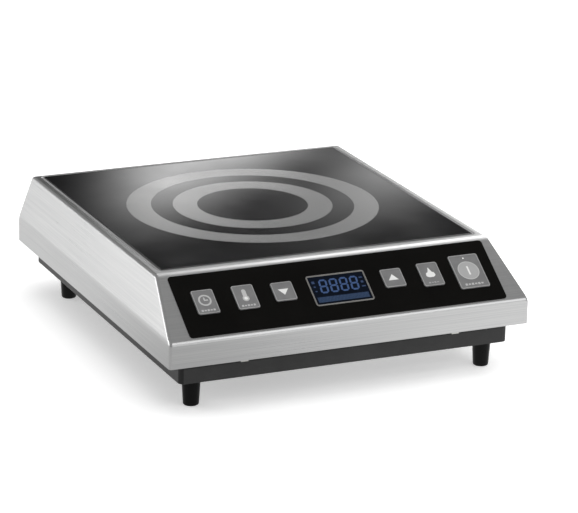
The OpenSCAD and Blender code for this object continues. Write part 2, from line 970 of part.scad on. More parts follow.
// Screws that hold the power board to the base
module power_board_screws() {
  color([0.7, 0.7, 0.7])
    for (p = PCB_SCREWS)
      difference() {
        union() {
          post(p[0], p[1], 2.8, z_parts, z_parts + 1.8);
          post(p[0], p[1], 1.25, z_floor + 2, z_parts + eps);
        }
        block(p[0], p[1], 3.4, 0.8, z_parts + 0.9, z_parts + 1.8 + eps);
        block(p[0], p[1], 0.8, 3.4, z_parts + 0.9, z_parts + 1.8 + eps);
      }
}

// Finned aluminium heat sink
module heat_sink() {
  z0 = z_parts + chip_t;
  color([0.78, 0.79, 0.8]) {
    block(sink_x, sink_y, sink_w, sink_d, z0, z0 + sink_base);
    for (i = [0 : sink_fins - 1])
      block(sink_x, sink_y + (i / (sink_fins - 1) - 0.5) * (sink_d - 2), sink_w, 2,
            z0 + sink_base - eps, z0 + sink_h);
  }
}

// Two flat transistors under the heat sink
module power_transistors() {
  color([0.1, 0.1, 0.1])
    for (y = [-26, 26])
      block(sink_x - 14, sink_y + y, 20, 16, z_parts, z_parts + chip_t);
}

// Rectifier block under the heat sink
module bridge_rectifier() {
  color([0.12, 0.12, 0.12])
    block(sink_x + 22, sink_y, 20, 30, z_parts, z_parts + chip_t);
}

// Film capacitor of the coil circuit
module resonant_capacitor() {
  color([0.75, 0.72, 0.6])
    block(104, -32, 42, 22, z_parts, z_parts + 32);
}

// Film capacitor of the supply
module smoothing_capacitor() {
  color([0.2, 0.3, 0.55])
    block(100, 2, 32, 18, z_parts, z_parts + 28);
}

// Electrolytic capacitors of the control supply
module electrolytic_capacitors() {
  color([0.12, 0.12, 0.25])
    for (x = [-14, 4])
      post(x, -38, 7, z_parts, z_parts + 22);
}

// Ring choke with its core and winding
module line_choke() {
  color([0.55, 0.33, 0.16])
    translate([100, 66, z_parts + 8])
      rotate_extrude()
        translate([15, 0])
          circle(r = 8);
}

// Glass fuse in its two end caps
module fuse() {
  color([0.8, 0.8, 0.78])
    translate([130, 96, z_parts + 3.6])
      rotate([90, 0, 0]) {
        translate([0, 0, -9])
          cylinder(r = 2.6, h = 18);
        for (z = [-11, 5])
          translate([0, 0, z])
            cylinder(r = 3.6, h = 6);
      }
}

// Small transformer of the control supply
module auxiliary_transformer() {
  color([0.85, 0.8, 0.3]) {
    block(70, -44, 26, 20, z_parts, z_parts + 8);
    block(70, -44, 18, 24, z_parts + 4, z_parts + 18);
  }
}

// Screw terminals for the coil leads
module coil_terminals() {
  color([0.8, 0.7, 0.4])
    for (y = LEAD_Y)
      block(terminal_x, y, 9, 9, z_parts, z_parts + 10);
}

// ---------- nodes ----------

housing();
glass_plate();
glass_seal();
mica_sheet();
control_overlay();
key_timer();
key_temp();
key_down();
key_up();
key_heat();
key_power();
power_led_lens();
display_bezel();
display_lens();
display_module();
control_board();
tact_switches();
buzzer();
panel_studs();
control_board_screws();
control_cable();
base_pan();
band_clips();
base_screws();
foot_front_left();
foot_front_right();
foot_rear_left();
foot_rear_right();
foot_screws();
cable_gland();
gland_locknut();
terminal_block();
mains_wires();
fan_frame();
fan_bearing();
fan_stator();
fan_rotor();
fan_screws();
coil_winding();
coil_carrier();
ferrite_bars();
coil_plate();
coil_posts();
coil_plate_screws();
pan_sensor();
sensor_holder();
coil_leads();
power_board();
power_board_screws();
heat_sink();
power_transistors();
bridge_rectifier();
resonant_capacitor();
smoothing_capacitor();
electrolytic_capacitors();
line_choke();
fuse();
auxiliary_transformer();
coil_terminals();
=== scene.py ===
"""Looks of the countertop induction hob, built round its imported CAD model.

The visible sheet metal, glass, keys, display, overlay and feet are rebuilt here as finished meshes,
and every CAD node that stays gets a procedural material. All lengths are in metres.
"""

import json
import math

import bmesh
import bpy
from mathutils import Matrix, Vector


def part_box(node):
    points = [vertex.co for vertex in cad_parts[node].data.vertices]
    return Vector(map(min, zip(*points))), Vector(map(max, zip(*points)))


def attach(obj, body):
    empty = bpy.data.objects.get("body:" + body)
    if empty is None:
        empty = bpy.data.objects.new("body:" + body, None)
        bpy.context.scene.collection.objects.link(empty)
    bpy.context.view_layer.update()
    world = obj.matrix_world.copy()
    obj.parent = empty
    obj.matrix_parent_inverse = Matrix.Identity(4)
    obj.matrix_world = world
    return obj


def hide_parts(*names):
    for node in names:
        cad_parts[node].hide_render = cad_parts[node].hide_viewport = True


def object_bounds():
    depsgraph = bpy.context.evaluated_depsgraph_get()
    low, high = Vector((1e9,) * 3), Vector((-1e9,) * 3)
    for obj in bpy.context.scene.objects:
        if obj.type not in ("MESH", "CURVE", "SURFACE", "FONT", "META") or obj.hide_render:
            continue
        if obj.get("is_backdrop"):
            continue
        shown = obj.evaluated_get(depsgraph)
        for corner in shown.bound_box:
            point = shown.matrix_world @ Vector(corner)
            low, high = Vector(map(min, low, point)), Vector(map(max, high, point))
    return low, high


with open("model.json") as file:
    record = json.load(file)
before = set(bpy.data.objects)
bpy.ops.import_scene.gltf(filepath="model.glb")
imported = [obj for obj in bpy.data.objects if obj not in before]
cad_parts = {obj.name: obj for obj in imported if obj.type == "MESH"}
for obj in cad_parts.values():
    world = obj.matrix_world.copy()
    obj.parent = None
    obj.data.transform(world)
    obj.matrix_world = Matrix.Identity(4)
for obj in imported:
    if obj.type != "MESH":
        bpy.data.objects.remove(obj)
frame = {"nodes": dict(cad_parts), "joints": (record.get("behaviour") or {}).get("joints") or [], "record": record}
cad_low, cad_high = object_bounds()
nodes = frame["nodes"]
MM = 0.001

# ---------- the panel frame: x across, y up the slope, z out of the face ----------

press_axis = next(j["axis"] for j in frame["joints"] if j["name"] == "press_timer")
NORMAL = -Vector(press_axis).normalized()
ACROSS = Vector((1, 0, 0))
UPWARD = NORMAL.cross(ACROSS)
PANEL = Matrix((ACROSS, UPWARD, NORMAL)).transposed().to_4x4()


def panel_span(node):
    """Lowest and highest corner of a CAD node in the panel frame."""
    back = PANEL.inverted()
    points = [back @ v.co for v in nodes[node].data.vertices]
    low = Vector([min(p[i] for p in points) for i in range(3)])
    high = Vector([max(p[i] for p in points) for i in range(3)])
    return low, high


def at_panel(x, s, height):
    """Matrix that places a shape on the sloped face, at a height along its normal."""
    return PANEL @ Matrix.Translation((x, s, height))


# ---------- mesh tools ----------


def rounded(w, d, r, steps=6):
    """Outline of a rectangle with rounded corners, centred, counter-clockwise."""
    r = max(r, 1e-6)
    points = []
    for cx, cy, start in ((1, 1, 0), (-1, 1, 90), (-1, -1, 180), (1, -1, 270)):
        for i in range(steps + 1):
            a = math.radians(start + 90 * i / steps)
            points.append((cx * (w / 2 - r) + r * math.cos(a), cy * (d / 2 - r) + r * math.sin(a)))
    return points


def disc(r, steps=48, x=0.0, y=0.0):
    """Outline of a circle."""
    return [
        (x + r * math.cos(2 * math.pi * i / steps), y + r * math.sin(2 * math.pi * i / steps))
        for i in range(steps)
    ]


def bar(x, y, length, width, angle=0.0):
    """Outline of a bar centred on a point, its length turned by an angle in degrees."""
    c, s = math.cos(math.radians(angle)), math.sin(math.radians(angle))
    corners = ((-1, -1), (1, -1), (1, 1), (-1, 1))
    return [
        (x + c * i * length / 2 - s * j * width / 2, y + s * i * length / 2 + c * j * width / 2)
        for i, j in corners
    ]


def new_object(name, mesh, matrix=None):
    obj = bpy.data.objects.new(name, mesh)
    bpy.context.scene.collection.objects.link(obj)
    if matrix is not None:
        mesh.transform(matrix)
    return obj


def from_bmesh(name, bm, matrix=None):
    """Object that takes over a finished bmesh."""
    mesh = bpy.data.meshes.new(name)
    bm.to_mesh(mesh)
    bm.free()
    return new_object(name, mesh, matrix)


def evaluated_mesh(obj):
    """Mesh of an object with its modifiers applied."""
    bpy.context.view_layer.update()
    graph = bpy.context.evaluated_depsgraph_get()
    return bpy.data.meshes.new_from_object(obj.evaluated_get(graph))


def loft(name, rings, matrix=None, closed=False):
    """Mesh through rings of points, capped at both ends, or closed into a loop."""
    bm = bmesh.new()
    loops = [[bm.verts.new(p) for p in ring] for ring in rings]
    pairs = list(zip(loops, loops[1:]))
    if closed:
        pairs.append((loops[-1], loops[0]))
    else:
        bm.faces.new(list(reversed(loops[0])))
        bm.faces.new(loops[-1])
    count = len(loops[0])
    for low, high in pairs:
        for i in range(count):
            k = (i + 1) % count
            bm.faces.new((low[i], low[k], high[k], high[i]))
    bmesh.ops.recalc_face_normals(bm, faces=bm.faces[:])
    return from_bmesh(name, bm, matrix)


def stack(name, w, d, r, levels, matrix=None, steps=6):
    """Rounded block from levels of (inset, height), lowest first."""
    rings = [
        [(x, y, z) for x, y in rounded(w - 2 * inset, d - 2 * inset, r - inset, steps)]
        for inset, z in levels
    ]
    return loft(name, rings, matrix)


def ring_frame(name, outer, profile, matrix=None, steps=8):
    """Closed frame: a profile of (inset, height) points swept round a rounded rectangle."""
    w, d, r = outer
    rings = [
        [(x, y, z) for x, y in rounded(w - 2 * inset, d - 2 * inset, r - inset, steps)]
        for inset, z in profile
    ]
    return loft(name, rings, matrix, closed=True)


def lathe(name, profile, matrix=None, steps=64):
    """Solid of revolution about Z from (radius, height) points that run round a closed outline."""
    rings = [
        [(r * math.cos(a), r * math.sin(a), z) for r, z in profile]
        for a in (2 * math.pi * i / steps for i in range(steps))
    ]
    return loft(name, rings, matrix, closed=True)


def flat(name, loops, thickness, matrix, edge=0.0):
    """Thin sheet from outlines, where an outline inside another is a hole."""
    curve = bpy.data.curves.new(name, "CURVE")
    curve.dimensions = "2D"
    curve.fill_mode = "BOTH"
    curve.extrude = thickness / 2 - edge
    curve.bevel_depth = edge
    curve.offset = -edge
    curve.bevel_resolution = 2
    for loop in loops:
        spline = curve.splines.new("POLY")
        spline.points.add(len(loop) - 1)
        for point, (x, y) in zip(spline.points, loop):
            point.co = (x, y, 0, 1)
        spline.use_cyclic_u = True
    source = bpy.data.objects.new(name + "_curve", curve)
    bpy.context.scene.collection.objects.link(source)
    mesh = evaluated_mesh(source)
    bpy.data.objects.remove(source)
    mesh.name = name
    bm = bmesh.new()
    bm.from_mesh(mesh)
    bmesh.ops.remove_doubles(bm, verts=bm.verts[:], dist=1e-6)
    bmesh.ops.recalc_face_normals(bm, faces=bm.faces[:])
    bm.to_mesh(mesh)
    bm.free()
    return new_object(name, mesh, matrix)


def carve(obj, cutter, operation="DIFFERENCE"):
    """Applies a boolean with a cutter, which is then removed."""
    mod = obj.modifiers.new("carve", "BOOLEAN")
    mod.operation, mod.object, mod.solver = operation, cutter, "EXACT"
    result = evaluated_mesh(obj)
    obj.modifiers.clear()
    obj.data = result
    bpy.data.objects.remove(cutter)


def join(name, parts):
    """One object from several, for a cutter or a piece of many solids."""
    bm = bmesh.new()
    for part in parts:
        bm.from_mesh(part.data)
        bpy.data.objects.remove(part)
    return from_bmesh(name, bm)


def shade(obj, angle=32):
    """Smooth shading with sharp edges past an angle and normals weighted by face area."""
    obj.data.polygons.foreach_set("use_smooth", [True] * len(obj.data.polygons))
    obj.data.set_sharp_from_angle(angle=math.radians(angle))
    mod = obj.modifiers.new("normals", "WEIGHTED_NORMAL")
    mod.keep_sharp = True
    return obj


def place(obj, material, body, slot, *replaced, angle=32):
    """Finishes a piece: shading, material and body, and hides the CAD nodes that it stands for. The slot argument
    is not used.
    """
    shade(obj, angle)
    obj.data.materials.clear()
    obj.data.materials.append(material)
    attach(obj, body)
    if replaced:
        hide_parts(*replaced)
    return obj


# ---------- materials ----------


class Look:
    """A node material with short calls for its graph."""

    def __init__(self, name, color=None, rough=None, metal=0.0, **constants):
        self.material = bpy.data.materials.new(name)
        self.material.use_nodes = True
        self.tree = self.material.node_tree
        self.shader = self.tree.nodes["Principled BSDF"]
        self.shader.inputs["Metallic"].default_value = metal
        if color is not None:
            self.shader.inputs["Base Color"].default_value = (*color, 1)
        if rough is not None:
            self.shader.inputs["Roughness"].default_value = rough
        for key, value in constants.items():
            self.shader.inputs[key.replace("_", " ")].default_value = value
        self.where = self.node("ShaderNodeTexCoord").outputs["Object"]

    def node(self, kind, inputs=None, **settings):
        made = self.tree.nodes.new(kind)
        for key, value in settings.items():
            setattr(made, key, value)
        for key, value in (inputs or {}).items():
            if isinstance(value, bpy.types.NodeSocket):
                self.tree.links.new(value, made.inputs[key])
            else:
                made.inputs[key].default_value = value
        return made

    def link(self, socket, name):
        self.tree.links.new(socket, self.shader.inputs[name])

    def math(self, operation, a, b=0.0):
        made = self.node("ShaderNodeMath", operation=operation)
        for i, value in enumerate((a, b)):
            if isinstance(value, bpy.types.NodeSocket):
                self.tree.links.new(value, made.inputs[i])
            else:
                made.inputs[i].default_value = value
        return made.outputs[0]

    def stretched(self, scale, source=None):
        return self.node(
            "ShaderNodeMapping", {"Vector": source or self.where, "Scale": scale}
        ).outputs[0]

    def noise(self, scale, detail=4.0, rough=0.55, source=None):
        inputs = {"Vector": source or self.where, "Scale": scale, "Detail": detail,
                  "Roughness": rough}
        return self.node("ShaderNodeTexNoise", inputs).outputs[0]

    def spread(self, value, low, high, start=0.3, stop=0.7):
        inputs = {"Value": value, "From Min": start, "From Max": stop, "To Min": low,
                  "To Max": high}
        return self.node("ShaderNodeMapRange", inputs).outputs[0]

    def smooth(self, value, start, stop):
        inputs = {"Value": value, "From Min": start, "From Max": stop}
        return self.node("ShaderNodeMapRange", inputs, interpolation_type="SMOOTHSTEP").outputs[0]

    def blend(self, factor, a, b):
        made = self.node("ShaderNodeMix", data_type="RGBA")
        for name, value in (("Factor", factor), ("A", a), ("B", b)):
            kind = "VALUE" if name == "Factor" else "RGBA"
            socket = next(s for s in made.inputs if s.name == name and s.type == kind)
            if isinstance(value, bpy.types.NodeSocket):
                self.tree.links.new(value, socket)
            else:
                socket.default_value = value if name == "Factor" else (*value, 1)
        return next(s for s in made.outputs if s.type == "RGBA")

    def axes(self, vector=None):
        """X, Y and Z of a vector, or of the place on the object."""
        return self.node("ShaderNodeSeparateXYZ", {"Vector": vector or self.where}).outputs

    def facing(self):
        """X, Y and Z of the way that the surface faces."""
        return self.axes(self.node("ShaderNodeTexCoord").outputs["Normal"])

    def checks(self, scale):
        """Chequer of 0 and 1."""
        inputs = {"Vector": self.where, "Scale": scale}
        return self.node("ShaderNodeTexChecker", inputs).outputs["Fac"]

    def cells(self, scale):
        """Distance to the nearest of many scattered points."""
        inputs = {"Vector": self.where, "Scale": scale}
        return self.node("ShaderNodeTexVoronoi", inputs).outputs["Distance"]

    def mottle(self, scale, detail, dark, light):
        """Cloudy mix of two colours."""
        return self.blend(self.spread(self.noise(scale, detail), 0, 1), dark, light)

    def glow(self, level):
        """White light of its own, at a level that varies over the surface."""
        self.link(level, "Emission Strength")
        self.shader.inputs["Emission Color"].default_value = (1, 1, 1, 1)

    def bump(self, height, strength, distance):
        made = self.node(
            "ShaderNodeBump", {"Height": height, "Strength": strength, "Distance": distance}
        )
        self.link(made.outputs[0], "Normal")


def shift(color, factor):
    """A colour made lighter or darker."""
    return tuple(min(1.0, c * factor) for c in color)


def grained(name, color, rough, metal=0.0, grain=900.0, vary=0.12, bump=0.15,
            stretch=(1, 1, 1), **constants):
    """Moulded, cast or painted surface: broad mottling, fine grain, uneven gloss."""
    look = Look(name, metal=metal, **constants)
    space = look.stretched(stretch)
    broad = look.noise(25, 3, source=space)
    fine = look.noise(grain, 2, source=space)
    mixed = look.math("ADD", look.math("MULTIPLY", broad, 0.6), look.math("MULTIPLY", fine, 0.4))
    tone = look.spread(mixed, 0, 1, 0.35, 0.65)
    look.link(look.blend(tone, shift(color, 1 - vary), shift(color, 1 + vary)), "Base Color")
    look.link(look.spread(broad, rough * 0.88, min(1, rough * 1.14)), "Roughness")
    look.bump(fine, bump, 0.05 * MM)
    return look.material


def brushed_steel():
    """Stainless sheet with a fine line finish that runs level round the housing."""
    look = Look("stainless_steel", metal=1.0, Anisotropic=0.45)
    sideways = look.smooth(look.math("ABSOLUTE", look.facing()[0]), 0.45, 0.55)
    lines = []
    for scale in (1.0, 0.35):
        long, fine = 12 * scale, 3600 * scale
        along_x = look.noise(1, 3, 0.6, look.stretched((long, fine, fine)))
        along_y = look.noise(1, 3, 0.6, look.stretched((fine, long, fine)))
        mixed = look.node("ShaderNodeMix", data_type="FLOAT")
        sockets = [s for s in mixed.inputs if s.type == "VALUE"]
        for socket, value in zip(sockets, (sideways, along_x, along_y)):
            look.tree.links.new(value, socket)
        lines.append(mixed.outputs[0])
    coarse, close = look.math("MULTIPLY", lines[0], 0.55), look.math("MULTIPLY", lines[1], 0.45)
    streak = look.math("ADD", coarse, close)
    cloud = look.noise(9, 3)
    tone = look.spread(streak, 0, 1, 0.38, 0.62)
    color = look.blend(tone, (0.495, 0.50, 0.505), (0.63, 0.63, 0.625))
    color = look.blend(look.spread(cloud, 0, 0.35), color, (0.555, 0.555, 0.55))
    look.link(color, "Base Color")
    rough = look.math("ADD", look.spread(streak, 0.26, 0.35), look.spread(cloud, -0.02, 0.03))
    look.link(rough, "Roughness")
    look.bump(streak, 0.06, 0.02 * MM)
    return look.material


ZONE_RINGS = ((50.8 * MM, 73.2 * MM), (93.2 * MM, 115.7 * MM))    # inner and outer radius


def zone_glass(centre, half_glass):
    """Black glass-ceramic with printed zone rings, slightly rougher than the glass."""
    look = Look("glass_ceramic", IOR=1.53)
    offset = look.node(
        "ShaderNodeVectorMath", {0: look.where, 1: (centre.x, centre.y, 0)}, operation="SUBTRACT"
    ).outputs[0]
    level = look.node("ShaderNodeVectorMath", {0: offset, 1: (1, 1, 0)}, operation="MULTIPLY")
    radius = look.node(
        "ShaderNodeVectorMath", {0: level.outputs[0]}, operation="LENGTH"
    ).outputs["Value"]
    soft = 0.35 * MM
    mask = None
    for inner, outer in ZONE_RINGS:
        inside = look.smooth(radius, inner - soft, inner + soft)
        outside = look.smooth(radius, outer + soft, outer - soft)
        band = look.math("MULTIPLY", inside, outside)
        mask = band if mask is None else look.math("MAXIMUM", mask, band)
    mask = look.math("MULTIPLY", mask, look.smooth(look.facing()[2], 0.9, 0.95))
    dots = look.smooth(look.cells(1400.0), 0.25, 0.6)
    print_tone = look.blend(dots, (0.41, 0.41, 0.408), (0.33, 0.33, 0.328))
    body = look.mottle(40, 3, (0.005, 0.005, 0.0053), (0.008, 0.008, 0.0084))
    look.link(look.blend(mask, body, print_tone), "Base Color")
    smear = look.spread(look.noise(16, 4), 0.05, 0.085)
    x, y = (look.math("ABSOLUTE", part) for part in look.axes(offset)[:2])
    edge = look.math("MAXIMUM", x, y)
    ground = look.smooth(edge, half_glass - 2.0 * MM, half_glass - 0.8 * MM)
    smear = look.math("ADD", smear, look.math("MULTIPLY", ground, 0.22))
    mixed = look.math("ADD", smear, look.math("MULTIPLY", mask, 0.06))
    look.link(mixed, "Roughness")
    look.link(look.math("MULTIPLY", mask, 0.68), "Metallic")
    look.bump(mask, 0.3, 0.02 * MM)
    return look.material


def board(name):
    """Solder-masked circuit board with tracks and pads."""
    look = Look(name, rough=0.35)
    tracks = look.node(
        "ShaderNodeTexBrick",
        {"Vector": look.where, "Scale": 90.0, "Mortar Size": 0.03, "Bias": 0.0,
         "Mortar Smooth": 0.2},
    ).outputs["Fac"]
    pads = look.smooth(look.cells(260.0), 0.16, 0.12)
    green = look.mottle(60, 4, (0.012, 0.075, 0.03), (0.02, 0.11, 0.045))
    green = look.blend(tracks, green, (0.035, 0.17, 0.07))
    look.link(look.blend(pads, green, (0.55, 0.52, 0.46)), "Base Color")
    look.bump(tracks, 0.25, 0.04 * MM)
    return look.material


def litz(name, color):
    """Lacquered stranded copper: fine twisted strands along the wire."""
    look = Look(name, metal=1.0)
    wave = look.node(
        "ShaderNodeTexWave",
        {"Vector": look.where, "Scale": 420.0, "Distortion": 2.5, "Detail": 3.0},
        bands_direction="DIAGONAL",
    ).outputs["Fac"]
    look.link(look.blend(wave, shift(color, 0.55), shift(color, 1.1)), "Base Color")
    look.link(look.spread(look.noise(300), 0.32, 0.48), "Roughness")
    look.bump(wave, 0.5, 0.12 * MM)
    return look.material


def ribbon(name):
    """Flat cable with its conductors as ribs."""
    look = Look(name, rough=0.5)
    ribs = look.node(
        "ShaderNodeTexWave", {"Vector": look.where, "Scale": 250.0}, bands_direction="X"
    ).outputs["Fac"]
    look.link(look.blend(ribs, (0.34, 0.34, 0.33), (0.55, 0.55, 0.53)), "Base Color")
    look.bump(ribs, 0.6, 0.2 * MM)
    return look.material


def key_face():
    """Grey key film: fine leather-like texture under a satin lacquer."""
    look = Look("key_grey")
    cells = look.cells(2600.0)
    look.link(look.mottle(120, 3, (0.135, 0.135, 0.137), (0.165, 0.165, 0.166)), "Base Color")
    look.link(look.spread(cells, 0.42, 0.52, 0.0, 0.8), "Roughness")
    look.bump(cells, 0.1, 0.03 * MM)
    return look.material


def smoked_display():
    """Deep blue-black window with a faint dot grid behind it."""
    look = Look("display_smoke", rough=0.16, IOR=1.49, Specular_IOR_Level=0.05)
    dots = look.math("MULTIPLY", look.checks(1600.0), 0.25)
    base = look.mottle(90, 2, (0.0015, 0.003, 0.007), (0.003, 0.0055, 0.012))
    look.link(look.blend(dots, base, (0.006, 0.010, 0.021)), "Base Color")
    return look.material


def glowing(name, color, strength):
    """Display segment: a lit fill with a soft mottle."""
    look = Look(name, rough=0.4, Specular_IOR_Level=0.1, Emission_Strength=strength)
    tone = look.mottle(900, 2, shift(color, 0.86), shift(color, 1.1))
    look.link(tone, "Base Color")
    look.link(tone, "Emission Color")
    return look.material


def dithered(name):
    """Display block drawn as a fine chequer of two blues."""
    look = Look(name, rough=0.4, Specular_IOR_Level=0.1, Emission_Strength=0.08)
    tone = look.blend(look.checks(1500.0), (0.007, 0.017, 0.042), (0.034, 0.062, 0.125))
    look.link(tone, "Base Color")
    look.link(tone, "Emission Color")
    return look.material


def moulded_base():
    """Spark-eroded black moulding, with painted shade along the top of the wall under the steel band and painted
    dark reflections on its rounded corners.
    """
    look = Look("base_plastic", Specular_IOR_Level=0.4)
    fine = look.noise(1500, 2)
    tone = look.mottle(25, 3, (0.017, 0.017, 0.017), (0.027, 0.027, 0.027))
    # Painted shade: the colour goes near black along the top of the wall, just under the steel band.
    painted_band_shade = look.smooth(look.axes()[2], z_band - 6.2 * MM, z_band - 4.6 * MM)
    # Painted dark reflection: where the surface turns between front and side, at the rounded corners, the colour
    # goes near black.
    across, along, _ = look.facing()
    corner = look.math("ABSOLUTE", look.math("MULTIPLY", across, along))
    shade = look.math("MAXIMUM", painted_band_shade, look.smooth(corner, 0.08, 0.3))
    look.link(look.blend(shade, tone, (0.003, 0.003, 0.003)), "Base Color")
    look.link(look.spread(fine, 0.42, 0.56), "Roughness")
    look.bump(fine, 0.35, 0.08 * MM)
    return look.material


def wire_paint():
    """Brown, blue and green sleeves, one for each mains wire by its place."""
    look = Look("wire_insulation", rough=0.42)
    x = look.axes()[0]
    low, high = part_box("mains_wires")
    third = (high.x - low.x) / 3
    mottle = look.spread(look.noise(200), 0, 0.25)
    second = look.smooth(x, low.x + third, low.x + third + MM)
    last = look.smooth(x, high.x - third - MM, high.x - third)
    color = look.blend(second, (0.16, 0.07, 0.03), (0.03, 0.09, 0.3))
    color = look.blend(last, color, (0.06, 0.26, 0.07))
    look.link(look.blend(mottle, color, (0.2, 0.18, 0.14)), "Base Color")
    look.bump(look.noise(700), 0.1, 0.03 * MM)
    return look.material


z_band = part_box("housing")[0].z
glass_low, glass_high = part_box("glass_plate")
glass_centre = (glass_low + glass_high) / 2

LOOKS = {
    "stainless_steel": brushed_steel(),
    "glass_ceramic": zone_glass(glass_centre, (glass_high.x - glass_low.x) / 2),
    "silicone_seal": grained("silicone_seal", (0.24, 0.24, 0.24), 0.5, grain=500, bump=0.1),
    "mica": grained("mica", (0.62, 0.55, 0.40), 0.35, grain=260, vary=0.25, bump=0.3),
    "overlay_black": grained("overlay_black", (0.0026, 0.0024, 0.0020), 0.36, grain=2200,
                             vary=0.2, bump=0.1, Specular_IOR_Level=0.05),
    "key_grey": key_face(),
    "indicator_lens": glowing("indicator_lens", (0.8, 0.8, 0.78), 0.5),
    "bezel_grey": grained("bezel_grey", (0.15, 0.147, 0.138), 0.38, grain=1600, vary=0.08,
                          bump=0.1),
    "display_smoke": smoked_display(),
    "display_housing": grained("display_housing", (0.02, 0.02, 0.022), 0.5),
    "circuit_board": board("circuit_board"),
    "black_component": grained("black_component", (0.018, 0.018, 0.018), 0.42, grain=1200),
    "base_plastic": moulded_base(),
    "foot_plastic": grained("foot_plastic", (0.004, 0.004, 0.004), 0.3, grain=900, bump=0.06,
                            Specular_IOR_Level=0.1),
    "zinc_steel": grained("zinc_steel", (0.56, 0.56, 0.53), 0.32, 1.0, grain=700, vary=0.1,
                          bump=0.1),
    "gland_nylon": grained("gland_nylon", (0.016, 0.016, 0.017), 0.38, grain=1000, bump=0.15),
    "terminal_plastic": grained("terminal_plastic", (0.68, 0.66, 0.58), 0.45, vary=0.06),
    "wire_insulation": wire_paint(),
    "ribbon_grey": ribbon("ribbon_grey"),
    "fan_plastic": grained("fan_plastic", (0.022, 0.022, 0.023), 0.4, grain=1300, bump=0.2),
    "bearing_bronze": grained("bearing_bronze", (0.46, 0.29, 0.12), 0.38, 1.0, grain=1500,
                              bump=0.25),
    "copper": litz("copper", (0.70, 0.32, 0.14)),
    "carrier_plastic": grained("carrier_plastic", (0.035, 0.033, 0.03), 0.5, grain=1100, bump=0.2),
    "ferrite": grained("ferrite", (0.045, 0.045, 0.05), 0.6, 0.2, grain=800, vary=0.2, bump=0.3),
    "aluminium": grained("aluminium", (0.72, 0.73, 0.74), 0.34, 1.0, grain=500, vary=0.06,
                         stretch=(0.05, 1, 1)),
    "white_plastic": grained("white_plastic", (0.74, 0.74, 0.71), 0.42, vary=0.04),
    "capacitor_box": grained("capacitor_box", (0.62, 0.58, 0.44), 0.4, vary=0.06),
    "capacitor_blue": grained("capacitor_blue", (0.02, 0.05, 0.17), 0.35, vary=0.1),
    "brass": grained("brass", (0.68, 0.50, 0.22), 0.3, 1.0, vary=0.1),
}


def printed(name, color, rough=0.5, grain=1800, vary=0.08, bump=0.05):
    """Printing ink on a key, also used for the painted highlight on the key rims."""
    return grained(name, color, rough, grain=grain, vary=vary, bump=bump)


SYMBOL = printed("symbol_print", (0.72, 0.72, 0.71), vary=0.06)
SYMBOL_GREY = printed("symbol_print_grey", (0.33, 0.33, 0.33))
LABEL_LIGHT = printed("label_print", (0.44, 0.44, 0.435))
SEGMENT = glowing("segment_blue", (0.040, 0.078, 0.185), 0.10)
SEGMENT_DIM = glowing("segment_dim", (0.030, 0.052, 0.115), 0.07)
SEGMENT_GRID = dithered("segment_grid")
# Light ring for the key rims: a painted highlight.
KEY_RIM_HIGHLIGHT = printed("key_rim_painted_highlight", (0.31, 0.31, 0.308), 0.45, 1500, 0.14, 0.08)
DISC_PRINT = printed("disc_print", (0.34, 0.34, 0.34), 0.48, 1500, 0.06, 0.06)
BLACK_STEEL = grained("black_steel", (0.02, 0.02, 0.02), 0.5, 0.3, grain=900, vary=0.12)

# ---------- carried-over CAD nodes ----------

# Width in millimetres of the bevel on each node whose edges are softened
SOFTENED = {"base_pan": 0.45, "band_clips": 0.12, "cable_gland": 0.3, "gland_locknut": 0.3,
            "fan_frame": 0.25, "heat_sink": 0.2, "terminal_block": 0.4, "coil_carrier": 0.4,
            "base_screws": 0.15, "foot_screws": 0.15}

slot_of = {part["node"]: part["material_slot"] for part in frame["record"]["subparts"]}

for name, obj in nodes.items():
    obj.data.materials.clear()
    obj.data.materials.append(BLACK_STEEL if name == "base_screws" else LOOKS[slot_of[name]])
    if name in SOFTENED:
        weld = obj.modifiers.new("weld", "WELD")
        weld.merge_threshold = 0.005 * MM
        merge = obj.modifiers.new("merge", "DECIMATE")
        merge.decimate_type = "DISSOLVE"
        merge.angle_limit = math.radians(1)
        bevel = obj.modifiers.new("edges", "BEVEL")
        bevel.width = SOFTENED[name] * MM
        bevel.segments = 2
        bevel.limit_method = "ANGLE"
        bevel.angle_limit = math.radians(40)
        bevel.use_clamp_overlap = False
        bevel.harden_normals = True

# ---------- steel housing ----------

SHEET = 1.0 * MM
steel = [v.co.copy() for v in nodes["housing"].data.vertices]
z_top = max(p.z for p in steel)
half_w = max(p.x for p in steel)
y_front, y_back = min(p.y for p in steel), max(p.y for p in steel)
z_fold = max(p.z for p in steel if p.x > half_w - 0.1 * MM)
crown = [p for p in steel if p.z > z_top - 0.01 * MM]
half_top = max(p.x for p in crown)
y_lip, y_rear_top = min(p.y for p in crown), max(p.y for p in crown)

LIP_ROUND = 4.6 * MM     # reach of the bend between the top and the control face
FOLD_ROUND = 2.6 * MM    # reach of the bend above the upright band
EDGE_ROUND = 2.6 * MM    # reach of the corner edges


